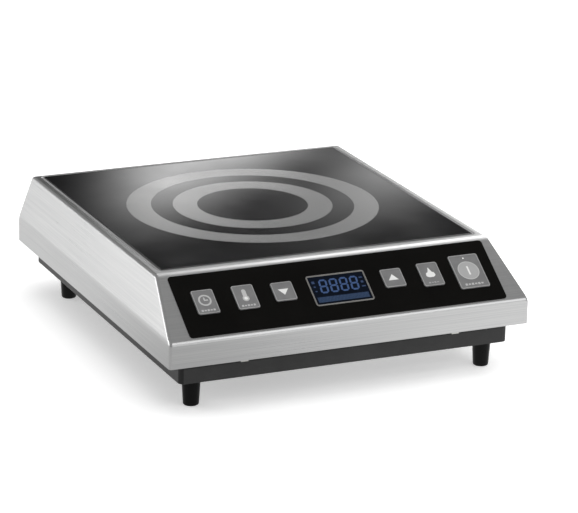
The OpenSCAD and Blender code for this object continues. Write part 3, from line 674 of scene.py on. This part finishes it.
def housing_body(name, inset, low, rounds):
    """Convex housing form, moved in by a sheet thickness, with its bends rounded."""
    lip_round, fold_round, edge_round = rounds
    w, top = half_w - inset, half_top - inset * 0.8
    front, back = y_front + inset, y_back - inset
    fold = z_fold - inset * 0.2
    lip, rear = y_lip + inset * 0.3, y_rear_top - inset * 0.8
    bm = bmesh.new()
    weight = bm.edges.layers.float.new("bevel_weight_edge")
    levels = (
        (low, w, front, back),
        (fold, w, front, back),
        (z_top - inset, top, lip, rear),
    )
    rings = [
        [bm.verts.new((x, y, z)) for x, y in ((-hw, a), (hw, a), (hw, b), (-hw, b))]
        for z, hw, a, b in levels
    ]
    bm.faces.new(list(reversed(rings[0])))
    bm.faces.new(rings[-1])
    for lower, upper in zip(rings, rings[1:]):
        for i in range(4):
            k = (i + 1) % 4
            bm.faces.new((lower[i], lower[k], upper[k], upper[i]))
    bm.normal_update()

    def edge(a, b):
        return next(e for e in a.link_edges if e.other_vert(a) == b)

    folds = [edge(rings[1][i], rings[1][(i + 1) % 4]) for i in range(4)]
    tops = [edge(rings[2][i], rings[2][(i + 1) % 4]) for i in range(4)]
    corners = [edge(rings[k][i], rings[k + 1][i]) for k in (0, 1) for i in range(4)]
    largest = max(rounds)
    groups = (
        (folds, fold_round), (tops, edge_round), (corners, edge_round), (tops[:1], lip_round)
    )
    for group, size in groups:
        for e in group:
            e[weight] = size / largest
    obj = from_bmesh(name, bm)
    mod = obj.modifiers.new("bends", "BEVEL")
    mod.limit_method = "WEIGHT"
    mod.width = largest
    mod.segments = 6
    mod.use_clamp_overlap = False
    obj.data = evaluated_mesh(obj)
    obj.modifiers.clear()
    return obj


def slot_cutter(x, y, z0, z1, w, reach):
    """Upright slot with round ends that runs through a wall along Y."""
    outline = []
    for centre, start in (((z1 - w / 2), 0), ((z0 + w / 2), 180)):
        for i in range(9):
            a = math.radians(start + 180 * i / 8)
            outline.append((x + w / 2 * math.cos(a), centre + w / 2 * math.sin(a)))
    rings = [[(px, y + side * reach, pz) for px, pz in outline] for side in (-1, 1)]
    return loft("cutter", rings)


seal_low, seal_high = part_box("glass_seal")
recess = seal_high.x - seal_low.x
LEDGE = 10 * MM          # width of the ledge that carries the glass
CORNER = 5 * MM          # corner radius of the recess
z_ledge = seal_low.z
pan_low, pan_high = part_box("base_pan")
RIM = 7 * MM             # width of the rim of the base tray
BASE_WALL = 2 * MM
THROUGH = 5 * MM         # reach of a cutter past the sheet that it cuts
CUT = [(0, -THROUGH), (0, THROUGH)]
pan_centre = (pan_low + pan_high) / 2

housing = housing_body("housing_shell", 0, z_band, (LIP_ROUND, FOLD_ROUND, EDGE_ROUND))
inner_rounds = (LIP_ROUND * 0.7, FOLD_ROUND * 0.5, EDGE_ROUND * 0.3)
carve(housing, housing_body("cutter", SHEET, z_band + SHEET, inner_rounds))
tray = Matrix.Translation((glass_centre.x, glass_centre.y, 0))
carve(
    housing,
    stack("cutter", recess + 2 * SHEET, recess + 2 * SHEET, CORNER + SHEET,
          [(0, z_ledge - SHEET), (0, z_top - 0.3 * MM)], tray),
    "UNION",
)
well = [
    (0, z_ledge), (0, z_top - 0.5 * MM), (-0.35 * MM, z_top - 0.12 * MM),
    (-1.0 * MM, z_top + 0.1 * MM), (-1.0 * MM, z_top + MM),
]
carve(housing, stack("cutter", recess, recess, CORNER, well, tray))
opening = glass_high.x - glass_low.x - 2 * LEDGE
carve(housing, stack("cutter", opening, opening, CORNER,
                     [(0, z_ledge - THROUGH), (0, z_ledge + 2 * MM)], tray))
pan_w = pan_high.x - pan_low.x - 2 * RIM - 2 * BASE_WALL
pan_d = pan_high.y - pan_low.y - 2 * RIM - 2 * BASE_WALL
carve(housing, stack("cutter", pan_w, pan_d, CORNER,
                     [(0, z_band - THROUGH), (0, z_band + 1.1 * SHEET)],
                     Matrix.Translation((0, pan_centre.y, 0))))

KEYS = ["key_timer", "key_temp", "key_down", "key_up", "key_heat", "key_power"]
windows = []
face_height = panel_span("control_overlay")[0].z
for name in KEYS:
    low, high = panel_span(name)
    middle = (low + high) / 2
    windows.append(stack("cutter", high.x - low.x + MM, high.y - low.y + MM, 3 * MM, CUT,
                         at_panel(middle.x, middle.y, face_height)))
lens_low, lens_high = panel_span("display_lens")
lens_mid = (lens_low + lens_high) / 2
lens_w, lens_d = lens_high.x - lens_low.x, lens_high.y - lens_low.y
windows.append(stack("cutter", lens_w + MM, lens_d + MM, MM, CUT,
                     at_panel(lens_mid.x, lens_mid.y, face_height)))
carve(housing, join("cutter", windows))
VENT_PITCH, VENT_COUNT, VENT_W, VENT_MARGIN = 11 * MM, 27, 4 * MM, 5 * MM
vents = [
    slot_cutter((i - (VENT_COUNT - 1) / 2) * VENT_PITCH, y_back,
                z_band + VENT_MARGIN, z_fold - VENT_MARGIN, VENT_W, THROUGH)
    for i in range(VENT_COUNT)
]
carve(housing, join("cutter", vents))
place(housing, LOOKS["stainless_steel"], "chassis", "stainless_steel", "housing", angle=35)

# ---------- glass and seal ----------

z_glass, z_glass_low = glass_high.z, glass_low.z
glass = stack(
    "glass_top", glass_high.x - glass_low.x, glass_high.y - glass_low.y, 3 * MM,
    [(0.4 * MM, z_glass_low), (0, z_glass_low + 0.4 * MM), (0, z_glass - 0.55 * MM),
     (0.12 * MM, z_glass - 0.25 * MM), (0.4 * MM, z_glass - 0.05 * MM), (0.7 * MM, z_glass)],
    tray, steps=8,
)
place(glass, LOOKS["glass_ceramic"], "chassis", "glass_ceramic", "glass_plate", angle=50)

HAIR = 0.02 * MM         # gap that keeps the seal clear of what it touches
SEAL_W = 1.97 * MM
seal = ring_frame(
    "seal_bead", (recess - HAIR, seal_high.y - seal_low.y - HAIR, CORNER),
    [(0, z_ledge), (0, z_top - 0.15 * MM), (0.5 * MM, z_top - 0.45 * MM),
     (1.1 * MM, z_top - 0.5 * MM), (1.6 * MM, z_top - 0.25 * MM), (SEAL_W, z_top - 0.1 * MM),
     (SEAL_W, z_glass_low - HAIR), (LEDGE, z_glass_low - HAIR), (LEDGE, z_ledge)],
    tray,
)
place(seal, LOOKS["silicone_seal"], "chassis", "silicone_seal", "glass_seal", angle=40)

# ---------- control panel ----------

over_low, over_high = panel_span("control_overlay")
over_mid = (over_low + over_high) / 2
over_t = over_high.z - over_low.z
FLANGE = 1 * MM          # reach of a key's flange behind the overlay
GAP = 0.35 * MM          # gap round a key in the overlay
KEY_CORNER = 2 * MM
OVERLAY_CORNER = 3.2 * MM


def moved(points, x, y):
    """Outline moved by x and y."""
    return [(px + x, py + y) for px, py in points]


key_box = {}
for name in KEYS:
    low, high = panel_span(name)
    middle = (low + high) / 2
    w, d = high.x - low.x - 2 * FLANGE, high.y - low.y - 2 * FLANGE
    key_box[name] = (middle.x, middle.y, w, d, high.z)

holes = [
    moved(rounded(w + 2 * GAP, d + 2 * GAP, KEY_CORNER + GAP), x - over_mid.x, s - over_mid.y)
    for x, s, w, d, _ in key_box.values()
]
holes.append(moved(rounded(lens_w, lens_d, MM), lens_mid.x - over_mid.x, lens_mid.y - over_mid.y))
outline = rounded(over_high.x - over_low.x, over_high.y - over_low.y, OVERLAY_CORNER, 10)
overlay = flat("overlay_film", [outline] + holes, over_t,
               at_panel(over_mid.x, over_mid.y, over_mid.z), 0.12 * MM)
place(overlay, LOOKS["overlay_black"], "chassis", "overlay_black", "control_overlay", angle=30)

RIM_DIP = 0.18 * MM      # drop from a key's raised rim to its face
BORE = 0.05 * MM         # radius of the hair-thin core of a stem
PLUNGER_R, STEM_R = 1.6 * MM, 3 * MM
flange_top = over_low.z - 0.1 * MM
for name, (x, s, w, d, top) in key_box.items():
    levels = [
        (-FLANGE, flange_top - 1 * MM), (-FLANGE, flange_top), (0, flange_top),
        (0, top - 0.45 * MM), (0.06 * MM, top - 0.22 * MM), (0.2 * MM, top - 0.06 * MM),
        (0.4 * MM, top), (0.62 * MM, top - 0.02 * MM), (0.85 * MM, top - 0.12 * MM),
        (1.1 * MM, top - RIM_DIP),
    ]
    cap = stack(name + "_cap", w, d, KEY_CORNER, levels, at_panel(x, s, 0))
    foot_z = panel_span(name)[0].z
    shoulder, head = foot_z + 2.1 * MM, flange_top - 0.9 * MM
    stem = lathe("stem", [(BORE, foot_z), (PLUNGER_R, foot_z), (PLUNGER_R, shoulder),
                          (STEM_R, shoulder), (STEM_R, head), (BORE, head)], at_panel(x, s, 0), 32)
    key = join(name + "_key", [cap, stem])
    place(key, LOOKS["key_grey"], name + "_body", "key_grey", name, angle=38)

INLAY = 0.07 * MM        # thickness of a printed symbol
SINK = 0.01 * MM         # depth by which a print sits in its surface


def inlay(name, key, loops, material, lift=0.0):
    """Printed symbol on a key face, which moves with the key."""
    x, s, _, _, top = key_box[key]
    height = top - RIM_DIP + INLAY / 2 - SINK + lift
    obj = flat(name, loops, INLAY, at_panel(x, s, height), 0.015 * MM)
    return place(obj, material, key + "_body", "key_grey", angle=30)


def label_dashes(width, y, height=1.1 * MM, count=4):
    """Generic row of dashes where the product has a small word."""
    pitch = width / count
    return [
        bar((i - (count - 1) / 2) * pitch, y, pitch * 0.68, height * (0.7 if i % 2 else 1.0))
        for i in range(count)
    ]


# A light ring over each key's raised rim: a painted rim highlight.
for name, (x, s, w, d, top) in key_box.items():
    edge = [
        rounded(w - 2 * inset, d - 2 * inset, KEY_CORNER - inset)
        for inset in (0.3 * MM, 0.95 * MM)
    ]
    line = flat(name + "_edge", edge, INLAY, at_panel(x, s, top - 0.03 * MM), 0.015 * MM)
    place(line, KEY_RIM_HIGHLIGHT, name + "_body", "key_grey", angle=30)

key_d = key_box["key_timer"][3]
icon_y = 0.058 * key_d
label_y = -0.36 * key_d
clock_r = 5.9 * MM
# Outline of the two clock hands in millimetres, from the middle of the dial
HANDS = [(-0.9, -0.6), (2.9, -0.6), (2.9, 0.6), (0.3, 0.6), (0.3, 3.1), (-0.9, 3.1)]
inlay("symbol_timer", "key_timer",
      [disc(clock_r, y=icon_y), disc(clock_r - 1.5 * MM, y=icon_y),
       [(x * MM, icon_y + y * MM) for x, y in HANDS]],
      LABEL_LIGHT)
inlay("label_timer", "key_timer", label_dashes(13.6 * MM, label_y, 1.9 * MM, 5), LABEL_LIGHT)

tube_r, bulb_r = 1.9 * MM, 3.05 * MM
bulb_y = icon_y - 3.1 * MM
tube_top = icon_y + 6.6 * MM
thermometer = []
for i in range(13):
    a = math.pi * i / 12
    thermometer.append((tube_r * math.cos(a), tube_top - tube_r + tube_r * math.sin(a)))
joint_angle = math.asin(tube_r / bulb_r)
for i in range(25):
    a = math.pi / 2 + joint_angle + (2 * math.pi - 2 * joint_angle) * i / 24
    thermometer.append((bulb_r * math.cos(a), bulb_y + bulb_r * math.sin(a)))
inlay("symbol_temp", "key_temp", [thermometer], LABEL_LIGHT)
inlay("symbol_temp_core", "key_temp", [disc(1.6 * MM, 32, y=bulb_y)], SYMBOL, lift=INLAY)
inlay("label_temp", "key_temp", label_dashes(13.4 * MM, label_y, 1.9 * MM, 5), LABEL_LIGHT)

TRIANGLE = [(-4.8 * MM, 2.4 * MM), (0, -3.9 * MM), (4.8 * MM, 2.4 * MM)]
inlay("symbol_down", "key_down", [TRIANGLE], SYMBOL)
inlay("symbol_up", "key_up", [[(x, -y) for x, y in reversed(TRIANGLE)]], SYMBOL)


def flame(size):
    """Outline of a flame, as a smooth curve through a few points: a tall tongue, two short ones."""
    turns = [
        (0.0, -1.0), (0.44, -0.95), (0.76, -0.72), (0.82, -0.42), (0.66, -0.02), (0.45, 0.02),
        (0.24, 0.42), (-0.02, 1.0), (-0.22, 0.42), (-0.45, 0.0), (-0.66, -0.04), (-0.82, -0.44),
        (-0.76, -0.74), (-0.44, -0.95),
    ]
    points = []
    count = len(turns)
    for i in range(count):
        a, b, c, d = (Vector((*turns[(i + k) % count], 0)) for k in (-1, 0, 1, 2))
        for j in range(5):
            t = j / 5
            square = (2 * a - 5 * b + 4 * c - d) * t ** 2
            cube = (3 * b - a - 3 * c + d) * t ** 3
            p = 0.5 * (2 * b + (c - a) * t + square + cube)
            points.append((p.x * size, p.y * size))
    return points


inlay("symbol_heat", "key_heat", [moved(flame(5.3 * MM), 0, icon_y + 0.4 * MM)], SYMBOL)
inlay("label_heat", "key_heat", label_dashes(10.5 * MM, label_y, 1.5 * MM), SYMBOL_GREY)

_, _, power_w, power_d, _ = key_box["key_power"]
disc_y = 0.02 * power_d
disc_r = 0.35 * power_w
rim_loops = [disc(r, 72, y=disc_y) for r in (disc_r, disc_r - 0.8 * MM)]
inlay("disc_power", "key_power", rim_loops[:1], DISC_PRINT)
inlay("ring_power", "key_power", rim_loops, LABEL_LIGHT, lift=INLAY)
inlay("bar_power", "key_power", [bar(0, disc_y, 1.6 * MM, 9.4 * MM)], SYMBOL, lift=INLAY)
inlay("label_power", "key_power", label_dashes(18.5 * MM, -0.385 * power_d, 2.2 * MM, 6),
      LABEL_LIGHT)

led_low, led_high = panel_span("power_led_lens")
led_mid = (led_low + led_high) / 2
led_r = (led_high.x - led_low.x) / 2
led_h = led_high.z - led_low.z
led = lathe("power_indicator",
            [(0.02 * MM, 0), (led_r, 0), (led_r, led_h - 0.5 * MM),
             (led_r * 0.8, led_h - 0.25 * MM), (led_r * 0.4, led_h - 0.12 * MM),
             (0.02 * MM, led_h - 0.1 * MM)],
            at_panel(led_mid.x, led_mid.y, led_low.z), 40)
place(led, LOOKS["indicator_lens"], "key_power_body", "indicator_lens", "power_led_lens", angle=50)

# ---------- display ----------

bez_low, bez_high = panel_span("display_bezel")
bez_mid = (bez_low + bez_high) / 2
bez_t = bez_high.z - bez_low.z
bez_rim = (bez_high.x - bez_low.x - lens_w) / 2
bezel = ring_frame(
    "display_frame", (bez_high.x - bez_low.x, bez_high.y - bez_low.y, 2.5 * MM),
    [(0, 0), (0, bez_t * 0.45), (0.12 * MM, bez_t * 0.8), (0.38 * MM, bez_t),
     (bez_rim - 0.5 * MM, bez_t), (bez_rim - 0.15 * MM, bez_t * 0.7), (bez_rim, bez_t * 0.2),
     (bez_rim, 0)],
    at_panel(bez_mid.x, bez_mid.y, bez_low.z),
)
place(bezel, LOOKS["bezel_grey"], "chassis", "bezel_grey", "display_bezel", angle=45)
window = stack(
    "display_window", lens_w, lens_d, MM,
    [(0.1 * MM, lens_low.z), (0, lens_low.z + 0.1 * MM), (0, lens_high.z - 0.12 * MM),
     (0.12 * MM, lens_high.z)],
    at_panel(lens_mid.x, lens_mid.y, 0),
)
place(window, LOOKS["display_smoke"], "chassis", "display_smoke", "display_lens", angle=40)

SLANT = 0.10             # lean of the digits, as width over height
SEGMENT_W = 1.75 * MM
DIGIT_PITCH = 0.185      # from digit to digit, as a share of the window's width


def segment(x0, y0, x1, y1, width):
    """Pointed segment between two ends."""
    a, b = Vector((x0, y0)), Vector((x1, y1))
    u = (b - a).normalized()
    n = Vector((-u.y, u.x)) * width / 2
    tip = u * width / 2
    ends = [a, a + tip + n, b - tip + n, b, b - tip - n, a + tip - n]
    return [(p.x + SLANT * p.y, p.y) for p in ends]


def digit(x, y, w, h, width):
    """Seven segments of one digit, centred on x, y."""
    g = 0.10 * width
    l, r, b, m, t = x - w / 2, x + w / 2, y - h / 2, y, y + h / 2
    lines = [(l + g, t, r - g, t), (l + g, m, r - g, m), (l + g, b, r - g, b), (l, b + g, l, m - g),
             (l, m + g, l, t - g), (r, b + g, r, m - g), (r, m + g, r, t - g)]
    return [segment(*line, width) for line in lines]


digit_w, digit_h, digit_y = 0.115 * lens_w, 0.44 * lens_d, 0.13 * lens_d
segments = []
for k in range(4):
    x = (k - 1.5) * DIGIT_PITCH * lens_w
    segments += digit(x, digit_y, digit_w, digit_h, SEGMENT_W)


def on_display(name, loops, material):
    """Lit shape in the display window."""
    height = lens_high.z + INLAY / 2 - SINK
    obj = flat(name, loops, INLAY, at_panel(lens_mid.x, lens_mid.y, height), 0.01 * MM)
    return place(obj, material, "chassis", "display_smoke", angle=30)


on_display("display_digits", segments, SEGMENT)
on_display("display_bar", [bar(0, -0.335 * lens_d, 0.92 * lens_w, 0.19 * lens_d)], SEGMENT_GRID)
# Width and height in millimetres of the small blocks left and right of the digits, top down
MARKS = {-1: ((2.6, 2.6), (1.8, 1.5), (1.8, 1.2)), 1: ((3.0, 1.4), (2.4, 2.2), (3.6, 1.2))}
on_display("display_marks", [
    bar(side * 0.43 * lens_w, (0.30 - 0.16 * row) * lens_d, width * MM, height * MM)
    for side, sizes in MARKS.items()
    for row, (width, height) in enumerate(sizes)
], SEGMENT_DIM)

# ---------- feet ----------

FOOT_TIP = 7 * MM        # radius at the floor
FOOT_ROUND = 1.7 * MM    # radius of the rounded edge at the floor

for name in [n for n in nodes if n.startswith("foot_") and n != "foot_screws"]:
    low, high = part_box(name)
    middle = (low + high) / 2
    r_top = (high.x - low.x) / 2
    h = high.z
    turn_r = FOOT_TIP - FOOT_ROUND
    profile = [(4 * MM, 0.25 * MM), (4.3 * MM, 0), (turn_r, 0)]
    for i in range(7):
        a = math.radians(-90 + 90 * i / 6)
        profile.append((turn_r + FOOT_ROUND * math.cos(a), FOOT_ROUND + FOOT_ROUND * math.sin(a)))
    profile += [
        (FOOT_TIP + 0.55 * (r_top - FOOT_TIP), h * 0.55), (r_top - 0.05 * MM, h - 0.8 * MM),
        (r_top, h - 0.4 * MM), (r_top - 0.2 * MM, h), (2.1 * MM, h), (2.1 * MM, h * 0.55),
        (4 * MM, h * 0.55),
    ]
    foot = lathe(name + "_body", profile, Matrix.Translation((middle.x, middle.y, 0)))
    place(foot, LOOKS["foot_plastic"], "chassis", "foot_plastic", name, angle=40)

# ---------- stage: floor, reflection card, lights, camera ----------


def stage_plane(name, size, matrix, material):
    """Flat surface of the stage that isn't part of the hob."""
    bm = bmesh.new()
    bm.faces.new([bm.verts.new((x, y, 0)) for x, y in bar(0, 0, *size)])
    obj = from_bmesh(name, bm)
    obj.matrix_world = matrix
    obj.data.materials.append(material)
    obj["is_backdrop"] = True
    return obj


floor_look = Look("floor_with_painted_light", rough=0.7)
floor_look.link(floor_look.mottle(3, 4, (0.86, 0.86, 0.86), (0.88, 0.88, 0.88)), "Base Color")
# The floor glows as well as being lit: painted light, even all over and stronger to the right, that also lightens
# its shadows.
painted_light_to_right = floor_look.smooth(floor_look.axes()[0], -0.3, 0.6)
floor_look.glow(floor_look.math("ADD", floor_look.math("MULTIPLY", painted_light_to_right, 0.16), 0.36))
stage_plane("floor", (30, 30), Matrix.Identity(4), floor_look.material)


# Each pool of light as (strength, x, z, reach along, reach across), all tilted alike
POOL_TILT = 0.4
POOLS = [
    (2.55, 1.75, 1.245, 0.25, 0.08), (2.8, 2.34, 1.255, 0.33, 0.097),
    (1.79, 1.5, 1.29, 0.137, 0.10),
]


def card_look():
    """Painted reflector: soft pools of light in a dark field, bright above and to the right."""
    look = Look("card", color=(0, 0, 0), rough=1.0, Specular_IOR_Level=0.0)
    x, z, _ = look.axes()
    level = look.math("MULTIPLY", look.smooth(x, 2.32, 2.8), 2.1)
    level = look.math("ADD", level, look.math("MULTIPLY", look.smooth(x, 1.2, 0.5), 0.3))
    above = look.math("MULTIPLY", look.smooth(z, 1.58, 2.0), look.smooth(x, 1.1, 1.9))
    level = look.math("ADD", level, look.math("MULTIPLY", above, 0.88))
    for strength, x0, z0, reach_x, reach_z in POOLS:
        dx, dz = look.math("SUBTRACT", x, x0), look.math("SUBTRACT", z, z0)
        along = look.math("SUBTRACT", look.math("MULTIPLY", dx, math.cos(POOL_TILT)),
                          look.math("MULTIPLY", dz, math.sin(POOL_TILT)))
        over = look.math("ADD", look.math("MULTIPLY", dx, math.sin(POOL_TILT)),
                         look.math("MULTIPLY", dz, math.cos(POOL_TILT)))
        along, over = look.math("DIVIDE", along, reach_x), look.math("DIVIDE", over, reach_z)
        fall = look.math("ADD", look.math("MULTIPLY", along, along),
                         look.math("MULTIPLY", over, over))
        pool = look.math("EXPONENT", look.math("MULTIPLY", fall, -1.0))
        level = look.math("ADD", level, look.math("MULTIPLY", pool, strength))
    look.glow(look.math("ADD", level, 0.014))
    return look.material


def floor_card_look():
    """Dull patch in front on the left, brightening to the right and to the rear."""
    look = Look("floor_card", color=(0, 0, 0), rough=1.0, Specular_IOR_Level=0.0)
    x, y, _ = look.axes()
    front = look.math("ADD", look.math("MULTIPLY", look.smooth(x, -0.22, 0.25), 0.58), 0.48)
    rear = look.math("ADD", look.math("MULTIPLY", look.smooth(y, -0.15, 0.2), 0.36), 0.58)
    look.glow(look.math("MAXIMUM", front, rear))
    return look.material


CARD_Y = 4.0
upright = Matrix.Translation((0, CARD_Y, 0)) @ Matrix.Rotation(math.radians(90), 4, "X")
just_over_floor = Matrix.Translation((0, 0, 0.05 * MM))
for card in (stage_plane("reflection_card", (9.0, 9.0), upright, card_look()),
             stage_plane("floor_card", (12, 12), just_over_floor, floor_card_look())):
    # Both are seen in reflections alone
    card.visible_camera = False
    card.visible_diffuse = False
    card.visible_shadow = False


def softbox(name, location, target, size, power, glossy=True):
    """Rectangular area light aimed at a target."""
    light = bpy.data.lights.new(name, "AREA")
    light.shape = "RECTANGLE"
    light.size, light.size_y = size
    light.energy = power
    obj = bpy.data.objects.new(name, light)
    bpy.context.scene.collection.objects.link(obj)
    obj.location = location
    obj.rotation_euler = (Vector(target) - Vector(location)).to_track_quat("-Z", "Y").to_euler()
    obj.visible_camera = False
    obj.visible_glossy = glossy


softbox("overhead", (0.3, 0.2, 3.2), (0, 0, 0), (4.5, 4.5), 95, glossy=False)
softbox("behind_high", (2.6, 2.6, 3.4), (0, 0, 0.1), (1.8, 1.8), 16)
softbox("left_wall", (-3.2, 3.5, 0.95), (0, 0.1, 0.1), (4.0, 1.9), 72)
softbox("front_right_high", (1.1, -1.95, 1.75), (0, -0.15, 0.07), (2.0, 1.5), 12)
softbox("front_right_low", (1.25, -2.4, 0.42), (0, -0.15, 0.07), (2.0, 0.9), 4)

world = bpy.data.worlds.new("studio")
world.use_nodes = True
background = world.node_tree.nodes["Background"].inputs
background["Color"].default_value = (1, 1, 1, 1)
background["Strength"].default_value = 0.36
bpy.context.scene.world = world
bpy.context.scene.view_settings.view_transform = "Standard"

LENS, SENSOR = 187.3, 36.0
YAW, PITCH, ROLL = (math.radians(a) for a in (24.28, 17.93, 1.17))
DISTANCE = 2.732
AIM_FORWARD, AIM_HEIGHT = 8.05 * MM, 87.4 * MM     # point that the camera turns about
SHIFT_RIGHT, SHIFT_DOWN = 19.02 * MM, 17.8 * MM    # camera's move across its own view
camera_data = bpy.data.cameras.new("camera")
camera_data.lens, camera_data.sensor_width = LENS, SENSOR
camera = bpy.data.objects.new("camera", camera_data)
bpy.context.scene.collection.objects.link(camera)
turn = (
    Matrix.Rotation(-YAW, 4, "Z")
    @ Matrix.Rotation(math.radians(90) - PITCH, 4, "X")
    @ Matrix.Rotation(ROLL, 4, "Z")
)
right, up, backward = (turn.col[i].to_3d() for i in range(3))
middle = (cad_low + cad_high) / 2
anchor = Vector((middle.x, middle.y - AIM_FORWARD, AIM_HEIGHT))
camera.matrix_world = Matrix.Translation(
    anchor + backward * DISTANCE + right * SHIFT_RIGHT - up * SHIFT_DOWN
) @ turn
bpy.context.scene.camera = camera

low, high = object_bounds()
